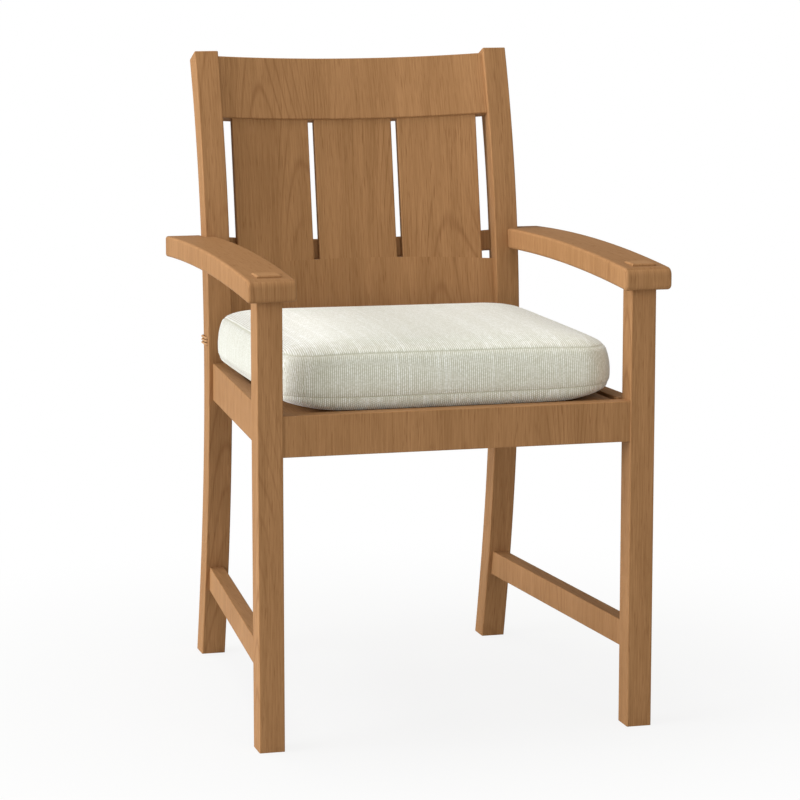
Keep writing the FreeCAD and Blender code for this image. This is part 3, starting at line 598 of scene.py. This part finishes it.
def plan_loop(cushion, side_inset, end_inset, steps=10):
    """Points round the cushion's plan, made smaller by the insets."""
    corner_share = 0.6
    least_radius = 0.008
    radius = max(cushion.corner - corner_share * side_inset, least_radius)
    front_half = cushion.front_half - side_inset - radius
    rear_half = cushion.rear_half - side_inset - radius
    front = cushion.front + end_inset + radius
    rear = cushion.rear - end_inset - radius
    corners = (
        (rear_half, rear, 90.0),
        (front_half, front, 0.0),
        (-front_half, front, -90.0),
        (-rear_half, rear, -180.0),
    )
    points = []
    for x, y, start in corners:
        for step in range(steps + 1):
            angle = math.radians(start - 90.0 * step / steps)
            points.append(Vector((x + radius * math.cos(angle), y + radius * math.sin(angle))))
    return points


def side_profile(cushion, steps=8):
    """Insets at the sides and ends, and heights, from the cushion's underside to its top."""
    clearance = 0.0004
    bottom = DECK_TOP + clearance
    fall = cushion.top - cushion.high_seam
    profile = []
    for step in range(steps + 1):
        angle = math.radians(90.0 * step / steps)
        share = 1 - math.sin(angle)
        height = cushion.low_seam + (bottom - cushion.low_seam) * math.cos(angle)
        profile.append((cushion.low_reach * share, cushion.end_reach * share, height))
    for step in range(1, steps):
        share = step / steps
        inset = cushion.high_inset * share ** 2 - cushion.bulge * 4 * share * (1 - share)
        profile.append((inset, inset, cushion.low_seam + (cushion.high_seam - cushion.low_seam) * share))
    for step in range(steps + 1):
        share = step / steps
        inset = cushion.high_inset + cushion.top_reach * share
        profile.append((inset, inset, cushion.top - fall * (1 - share) ** 2))
    return profile


def cushion_cut(cushion):
    """Closed boxed form of the cushion before it swells."""
    shape = bmesh.new()
    loops = []
    for side_inset, end_inset, height in side_profile(cushion):
        loop = plan_loop(cushion, side_inset, end_inset)
        loops.append([shape.verts.new((*point, height)) for point in loop])
    shape.faces.new(loops[0])
    shape.faces.new(loops[-1])
    for low, high in zip(loops, loops[1:]):
        for index in range(len(low)):
            shape.faces.new((low[index - 1], low[index], high[index], high[index - 1]))
    bmesh.ops.recalc_face_normals(shape, faces=shape.faces)
    mesh = bpy.data.meshes.new("seat_cushion")
    shape.to_mesh(mesh)
    shape.free()
    return mesh


def pinch_corners(points, cushion):
    """Draws the two seams together towards the corners, and leans the top a little."""
    along = (points[:, 1] - cushion.front) / (cushion.rear - cushion.front)
    half = cushion.front_half + (cushion.rear_half - cushion.front_half) * along
    sharpness = 5
    corner = np.clip(np.abs(points[:, 0]) / half * np.abs(2 * along - 1), 0.0, 1.0) ** sharpness
    middle = (cushion.low_seam + cushion.high_seam) / 2
    reach = (cushion.high_seam - cushion.low_seam) / 2
    rear_relief = 0.4
    pinch = cushion.pinch * (1 - rear_relief * along)
    lift = np.clip((points[:, 2] - middle) / reach, 0.0, 1.0)
    points[:, 2] -= lift * cushion.lean * points[:, 0] / half
    points[:, 2] -= pinch * corner * np.clip((points[:, 2] - middle) / reach, -1.0, 1.0)
    return points


def plan_outline(cushion):
    """Points round the boxing from the middle of its rear, with their distance along it."""
    rear_middle = Vector((0.0, cushion.rear))
    path = [rear_middle, *plan_loop(cushion, 0.0, 0.0), rear_middle]
    dense = []
    reach = []
    walked = 0.0
    spacing = 0.002
    for first, second in zip(path, path[1:]):
        length = (second - first).length
        count = max(1, int(length / spacing))
        for step in range(count):
            dense.append(first.lerp(second, step / count))
            reach.append(walked + length * step / count)
        walked += length
    return np.array([tuple(point) for point in dense]), np.array(reach)


def swell(piece, cushion, held):
    """Swells the cover with air pressure as cloth, and caps how far a point moves."""
    scene = bpy.context.scene
    rest = points_of(piece.data)
    group = piece.vertex_groups.new(name="held")
    group.add([int(index) for index in np.flatnonzero(held)], 1.0, "REPLACE")
    cloth = piece.modifiers.new("swell", "CLOTH")
    cloth.settings.quality = 6
    cloth.settings.mass = 0.3
    cloth.settings.tension_stiffness = 15.0
    cloth.settings.compression_stiffness = 15.0
    cloth.settings.shear_stiffness = 8.0
    cloth.settings.bending_stiffness = 1.0
    cloth.settings.use_pressure = True
    cloth.settings.uniform_pressure_force = 4.0
    cloth.settings.vertex_group_mass = "held"
    cloth.settings.effector_weights.gravity = 0.0
    cloth.collision_settings.use_collision = False
    frames = 20
    cloth.point_cache.frame_start = 1
    cloth.point_cache.frame_end = frames
    for step in range(1, frames + 1):
        scene.frame_set(step)
    swollen = points_of(settled_mesh(piece))
    piece.modifiers.remove(cloth)
    piece.vertex_groups.remove(group)
    scene.frame_set(1)
    moved = swollen - rest
    level = np.hypot(moved[:, 0], moved[:, 1])
    level_share = cushion.side_cap * np.tanh(level / cushion.side_cap) / np.maximum(level, 1e-9)
    moved[:, 0] *= level_share
    moved[:, 1] *= level_share
    moved[:, 2] = cushion.crown_cap * np.tanh(moved[:, 2] / cushion.crown_cap)
    set_points(piece.data, rest + moved)


def seat_on_frame(points):
    """Keeps the cushion's underside on the deck and the side rails, and its rear in front of the zip."""
    rail_front_y, rail_front_x = -0.26645, 0.2370
    rail_rear_y, rail_rear_x = 0.1973, 0.2100
    slope = (rail_rear_x - rail_front_x) / (rail_rear_y - rail_front_y)
    inner = rail_front_x + slope * (points[:, 1] - rail_front_y)
    rail_clearance = 0.0005
    deck_clearance = 0.0003
    tape_clearance = 0.0001
    ramp = 0.012
    ramp_length = ramp * 0.8
    share = np.clip((np.abs(points[:, 0]) - (inner - ramp)) / ramp_length, 0.0, 1.0)
    share = share * share * (3 - 2 * share)
    floor = DECK_TOP + deck_clearance + share * (RAIL_TOP + rail_clearance - DECK_TOP)
    points[:, 2] = np.maximum(points[:, 2], floor)
    points[:, 1] = np.minimum(points[:, 1], TAPE_LOW.y - tape_clearance)
    return points


class ARMCHAIR_OT_stage(bpy.types.Operator):
    """Sets up the camera, the pale floor and the soft studio light"""
    bl_idname = "armchair.stage"
    bl_label = "Stage"

    def execute(self, context):
        stage = context.scene.armchair_stage
        scene = context.scene
        scene.view_settings.view_transform = "Standard"
        lens = bpy.data.cameras.new("camera")
        lens.lens = stage.lens
        lens.sensor_width = 36.0
        camera = bpy.data.objects.new("camera", lens)
        camera.location = stage.camera_place
        camera.rotation_euler = stage.camera_turn
        scene.collection.objects.link(camera)
        scene.camera = camera
        aim = Vector((0.0, 0.0, 0.45))
        lamps = (
            ("key_lamp", Vector((-9.0, -1.2, 1.9)), 5.7, stage.key_power, stage.key_tint),
            ("top_lamp", Vector((-0.7, 0.35, 3.2)), 2.0, stage.top_power, WHITE),
            ("fill_lamp", Vector((0.6, -3.5, 1.6)), 2.4, stage.fill_power, WHITE),
        )
        for name, place, size, power, tint in lamps:
            lamp = bpy.data.lights.new(name, "AREA")
            lamp.size = size
            lamp.energy = power
            lamp.color = tint
            stand = bpy.data.objects.new(name, lamp)
            stand.location = place
            stand.rotation_euler = (aim - place).to_track_quat("-Z", "Y").to_euler()
            scene.collection.objects.link(stand)
        self.hang_backdrop(scene, stage)
        self.lay_floor(stage)
        return {"FINISHED"}

    def hang_backdrop(self, scene, stage):
        world = bpy.data.worlds.new("studio")
        world.use_nodes = True
        sky = NodeSheet(world.node_tree)
        seen = sky.node("ShaderNodeLightPath", output="Is Camera Ray")
        through = sky.node("ShaderNodeLightPath", output="Is Transmission Ray")
        lit = sky.node("ShaderNodeBackground", {}, {"Color": stage.sky_tint, "Strength": stage.sky})
        white = sky.node("ShaderNodeBackground", {}, {"Color": WHITE, "Strength": 1.0})
        shown = seen.maths("MAXIMUM", seen, through)
        both = sky.node("ShaderNodeMixShader", {}, {0: shown, 1: lit, 2: white})
        sky.node("ShaderNodeOutputWorld", {}, {"Surface": both})
        scene.world = world

    def lay_floor(self, stage):
        shape = bmesh.new()
        bmesh.ops.create_grid(shape, x_segments=1, y_segments=1, size=30.0)
        mesh = bpy.data.meshes.new("floor")
        shape.to_mesh(mesh)
        shape.free()
        below_feet = 0.0004
        floor = place_piece("floor", mesh)
        floor.location.z = -below_feet
        ground = Finish("pale_floor")
        seen = ground.node("ShaderNodeLightPath", output="Is Camera Ray")
        matte = ground.node("ShaderNodeBsdfDiffuse", {}, {"Color": stage.floor})
        white = ground.node("ShaderNodeEmission", {}, {"Color": WHITE, "Strength": 1.0})
        x, y = ground.place()[:2]
        reach = (x * x + y * y) ** 0.5
        near_white = 0.86
        near_reach = 0.3
        far_reach = 1.1
        whiteness = between(near_white, 1.0, reach.ease(near_reach, far_reach))
        both = ground.node("ShaderNodeMixShader", {}, {0: seen * whiteness, 1: matte, 2: white})
        ground.node("ShaderNodeOutputMaterial", {}, {"Surface": both})
        mesh.materials.append(ground.material)


class ARMCHAIR_OT_frame(bpy.types.Operator):
    """Finishes the legs, posts, rails, slats and armrests in oiled teak"""
    bl_idname = "armchair.frame"
    bl_label = "Teak frame"

    def execute(self, context):
        settings = context.scene.armchair_teak
        dress(POSTS, teak("teak_posts", settings, "Y", leaning=True))
        # The armrests' tops get painted shade: their tone is drawn 70% towards the deep wood colour
        dress(ARMRESTS, teak("teak_armrests", settings, "Y", flat_painted_shade=0.7))
        dress(LONG_BOARDS, teak("teak_long_boards", settings, "Y"))
        dress(CROSS_BOARDS, teak("teak_cross_boards", settings, "X"))
        return {"FINISHED"}


class ARMCHAIR_OT_metal(bpy.types.Operator):
    """Finishes the screws and the slider of the zip"""
    bl_idname = "armchair.metal"
    bl_label = "Screws and slider"

    def execute(self, context):
        settings = context.scene.armchair_metal
        dress(SCREWS, satin_metal("screw_steel", tuple(settings.screw), "Z"))
        dress(("zip_slider",), satin_metal("slider_plate", tuple(settings.slider), "X"))
        return {"FINISHED"}


class ARMCHAIR_OT_cushion(bpy.types.Operator):
    """Sews the boxed cushion, swells it as cloth and draws in its seams"""
    bl_idname = "armchair.cushion"
    bl_label = "Seat cushion"

    def execute(self, context):
        cushion = context.scene.armchair_cushion
        piece = place_piece("seat_cushion", cushion_cut(cushion))
        remesh = piece.modifiers.new("remesh", "REMESH")
        remesh.mode = "VOXEL"
        remesh.voxel_size = cushion.voxel
        keep_settled(piece)
        points = points_of(piece.data)
        outline, reach = plan_outline(cushion)
        nearest = [
            int(np.argmin((outline[:, 0] - x) ** 2 + (outline[:, 1] - y) ** 2)) for x, y in points[:, :2]
        ]
        set_values(piece.data, "around", reach[nearest])
        level = points[:, 2].copy()
        set_values(piece.data, "level", level)
        set_points(piece.data, pinch_corners(points, cushion))
        held = level < cushion.low_seam + SEAM_REACH
        held |= np.abs(level - cushion.high_seam) < SEAM_REACH
        swell(piece, cushion, held)
        divide = piece.modifiers.new("divide", "SUBSURF")
        divide.levels = 1
        divide.render_levels = 1
        keep_settled(piece)
        self.draw_seams(piece.data, cushion)
        for polygon in piece.data.polygons:
            polygon.use_smooth = True
        piece.data.materials.clear()
        piece.data.materials.append(cover_cloth("cover_cloth", context.scene.armchair_cloth, cushion))
        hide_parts("cushion_cover", "cushion_foam")
        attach(piece, "cushion")
        return {"FINISHED"}

    def draw_seams(self, mesh, cushion):
        points = points_of(mesh)
        normals = np.zeros(len(mesh.vertices) * 3)
        mesh.vertices.foreach_get("normal", normals)
        normals = normals.reshape(-1, 3)
        level = values_of(mesh, "level")
        depth = np.zeros(len(points))
        for seam in (cushion.low_seam, cushion.high_seam):
            depth += cushion.seam_depth * np.exp(-((level - seam) / SEAM_REACH) ** 2)
        set_points(mesh, seat_on_frame(points - normals * depth[:, None]))


class ARMCHAIR_OT_zip(bpy.types.Operator):
    """Finishes the zip's tape and sets two rows of teeth on it"""
    bl_idname = "armchair.zip"
    bl_label = "Zip"

    def execute(self, context):
        settings = context.scene.armchair_zip
        dress(("zip_tape",), zip_cloth("zip_tape_cloth", settings))
        piece = place_piece("zip_teeth", bpy.data.meshes.new("zip_teeth"))
        tree = self.teeth_tree(zip_teeth("zip_teeth_nylon", settings))
        rows = piece.modifiers.new("rows", "NODES")
        rows.node_group = tree
        margin = 0.004
        sunk = 0.0003
        length = TAPE_HIGH.x - TAPE_LOW.x - 2 * margin
        sizes = {
            "Teeth": int(length / settings.pitch),
            "Pitch": settings.pitch,
            "Start": (TAPE_LOW.x + margin, TAPE_HIGH.y + settings.tooth_depth / 2 - sunk, TAPE_MIDDLE),
            "Tooth": (settings.tooth_width, settings.tooth_depth, settings.tooth_height),
        }
        for socket in tree.interface.items_tree:
            if socket.in_out == "INPUT" and socket.name in sizes:
                rows[socket.identifier] = sizes[socket.name]
        keep_settled(piece)
        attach(piece, "cushion")
        return {"FINISHED"}

    def teeth_tree(self, material):
        """Two rows of teeth, each tooth half a pitch from its neighbours in the other row."""
        tree = bpy.data.node_groups.new("zip_teeth", "GeometryNodeTree")
        tree.interface.new_socket("Geometry", in_out="OUTPUT", socket_type="NodeSocketGeometry")
        inputs = {"Teeth": "Int", "Pitch": "Float", "Start": "Vector", "Tooth": "Vector"}
        for name, kind in inputs.items():
            tree.interface.new_socket(name, in_out="INPUT", socket_type="NodeSocket" + kind)
        sheet = NodeSheet(tree)
        count, pitch, start, size = [sheet.node("NodeGroupInput", output=name) for name in inputs]
        step = sheet.join(pitch, 0.0, 0.0)
        rows = []
        row_rise = 0.35
        for along, up in ((0.0, row_rise), (0.5, -row_rise)):
            shift = sheet.join(pitch * along, 0.0, pitch * up)
            first = sheet.node("ShaderNodeVectorMath", {"operation": "ADD"}, {0: start, 1: shift})
            sockets = {"Count": count, "Start Location": first, "Offset": step}
            rows.append(sheet.node("GeometryNodeMeshLine", {"mode": "OFFSET"}, sockets))
        points = sheet.node("GeometryNodeJoinGeometry", {}, {"Geometry": rows})
        tooth = sheet.node("GeometryNodeMeshCube", {}, {"Size": size})
        teeth = sheet.node("GeometryNodeInstanceOnPoints", {}, {"Points": points, "Instance": tooth})
        solid = sheet.node("GeometryNodeRealizeInstances", {}, {"Geometry": teeth})
        dressed = sheet.node("GeometryNodeSetMaterial", {}, {"Geometry": solid, "Material": material})
        sheet.node("NodeGroupOutput", {}, {"Geometry": dressed})
        return tree


class ARMCHAIR_OT_ties(bpy.types.Operator):
    """Finishes the cushion ties round the rear posts as twisted cord"""
    bl_idname = "armchair.ties"
    bl_label = "Cushion ties"

    def execute(self, context):
        dress(TIES, twisted_cord("tie_cord", context.scene.armchair_tie))
        return {"FINISHED"}


class ARMCHAIR_PT_panel(bpy.types.Panel):
    """Lists the pieces of the armchair"""
    bl_idname = "ARMCHAIR_PT_panel"
    bl_label = "Armchair"
    bl_space_type = "VIEW_3D"
    bl_region_type = "UI"
    bl_category = "Armchair"

    def draw(self, context):
        for operator in OPERATORS:
            self.layout.operator(operator.bl_idname)


SETTINGS = {
    "armchair_teak": TeakSettings,
    "armchair_cloth": ClothSettings,
    "armchair_cushion": CushionSettings,
    "armchair_zip": ZipSettings,
    "armchair_metal": MetalSettings,
    "armchair_tie": TieSettings,
    "armchair_stage": StageSettings,
}
OPERATORS = (
    ARMCHAIR_OT_stage, ARMCHAIR_OT_frame, ARMCHAIR_OT_metal, ARMCHAIR_OT_cushion,
    ARMCHAIR_OT_zip, ARMCHAIR_OT_ties,
)


def register():
    for name, group in SETTINGS.items():
        bpy.utils.register_class(group)
        setattr(bpy.types.Scene, name, bpy.props.PointerProperty(type=group))
    for operator in OPERATORS:
        bpy.utils.register_class(operator)
    bpy.utils.register_class(ARMCHAIR_PT_panel)


def unregister():
    bpy.utils.unregister_class(ARMCHAIR_PT_panel)
    for operator in reversed(OPERATORS):
        bpy.utils.unregister_class(operator)
    for name, group in reversed(list(SETTINGS.items())):
        delattr(bpy.types.Scene, name)
        bpy.utils.unregister_class(group)


def main():
    register()
    bpy.ops.armchair.stage()
    bpy.ops.armchair.frame()
    bpy.ops.armchair.metal()
    bpy.ops.armchair.cushion()
    bpy.ops.armchair.zip()
    bpy.ops.armchair.ties()


if __name__ == "__main__":
    main()
